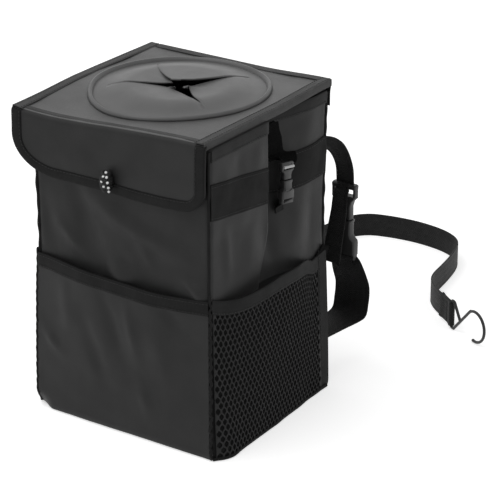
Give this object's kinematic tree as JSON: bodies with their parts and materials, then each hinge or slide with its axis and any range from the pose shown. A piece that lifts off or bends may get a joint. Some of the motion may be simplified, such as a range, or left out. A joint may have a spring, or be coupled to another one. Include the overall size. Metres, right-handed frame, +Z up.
{
  "type": "car trash bin",
  "caption": "Foldable square fabric waste bin for a car, with a hinged lid, slit rubber aperture, outer pockets, side clips, back strap with buckle, and a strap with a wire hook.",
  "frame": {"origin": "centre of the underside of the base, on the ground", "axes": "+Z up, +X to the right seen from the front, +Y to the back, where the straps are"},
  "size_m": [0.2962, 0.5524, 0.3152],
  "materials": {
    "coated_fabric": "satin",
    "binding_tape": "matte",
    "mesh_net": "matte",
    "webbing": "matte",
    "liner_film": "satin",
    "board": "matte",
    "clip_plastic": "satin",
    "soft_rubber": "matte",
    "hook_loop_tape": "matte",
    "coated_wire": "gloss",
    "speckled_cord": "matte"
  },
  "bodies": {
    "bin": {"base_panel": "board", "front_panel": "coated_fabric", "back_panel": "coated_fabric", "right_panel": "coated_fabric", "left_panel": "coated_fabric", "waterproof_liner": "liner_film", "rim_hem": "binding_tape", "piping_front_right": "binding_tape", "piping_front_left": "binding_tape", "piping_back_right": "binding_tape", "piping_back_left": "binding_tape", "front_pocket": "coated_fabric", "front_pocket_binding": "binding_tape", "right_mesh_pocket": "mesh_net", "right_mesh_binding": "binding_tape", "right_mesh_strip": "coated_fabric", "left_mesh_pocket": "mesh_net", "left_mesh_binding": "binding_tape", "left_mesh_strip": "coated_fabric", "right_band": "coated_fabric", "left_band": "coated_fabric", "closure_loop_patch": "hook_loop_tape", "lid_hinge_strip": "coated_fabric", "right_clip_socket": "clip_plastic", "right_clip_upper_tab": "webbing", "right_clip_lower_tab": "webbing", "left_clip_socket": "clip_plastic", "left_clip_upper_tab": "webbing", "left_clip_lower_tab": "webbing", "back_loop_strap": "webbing", "back_upper_web": "webbing", "back_buckle_socket": "clip_plastic", "hook_strap": "webbing", "hook_strap_end": "webbing"},
    "lid": {"lid_lining": "liner_film", "lid_board": "board", "lid_cover": "coated_fabric", "lid_binding_left": "binding_tape", "lid_binding_right": "binding_tape", "lid_flap": "coated_fabric", "lid_flap_binding": "binding_tape", "closure_hook_patch": "hook_loop_tape", "rubber_aperture": "soft_rubber", "pull_knot": "speckled_cord"},
    "right_plug": {"right_clip_plug": "clip_plastic"},
    "left_plug": {"left_clip_plug": "clip_plastic"},
    "back_plug": {"back_buckle_plug": "clip_plastic", "back_strap_tail": "webbing"},
    "hook": {"wire_hook": "coated_wire"}
  },
  "joints": [
    {"name": "lid_hinge", "type": "hinge", "parent": "bin", "child": "lid", "pos_m": [0, 0.097, 0.2934], "axis": [-1, 0, 0], "range_deg": [0, 180]},
    {"name": "right_clip_release", "type": "slide", "parent": "bin", "child": "right_plug", "axis": [0, 0, 1], "range_m": [0, 0.016], "deforming": ["right_clip_upper_tab"]},
    {"name": "left_clip_release", "type": "slide", "parent": "bin", "child": "left_plug", "axis": [0, 0, 1], "range_m": [0, 0.016], "deforming": ["left_clip_upper_tab"]},
    {"name": "back_buckle_release", "type": "slide", "parent": "bin", "child": "back_plug", "axis": [0, 0, 1], "range_m": [0, 0.028], "deforming": ["back_upper_web"]},
    {"name": "hook_swing", "type": "hinge", "parent": "bin", "child": "hook", "pos_m": [0.12947, 0.26971, 0.016], "axis": [0, 0, 1], "range_deg": [-70, 60]}
  ]
}
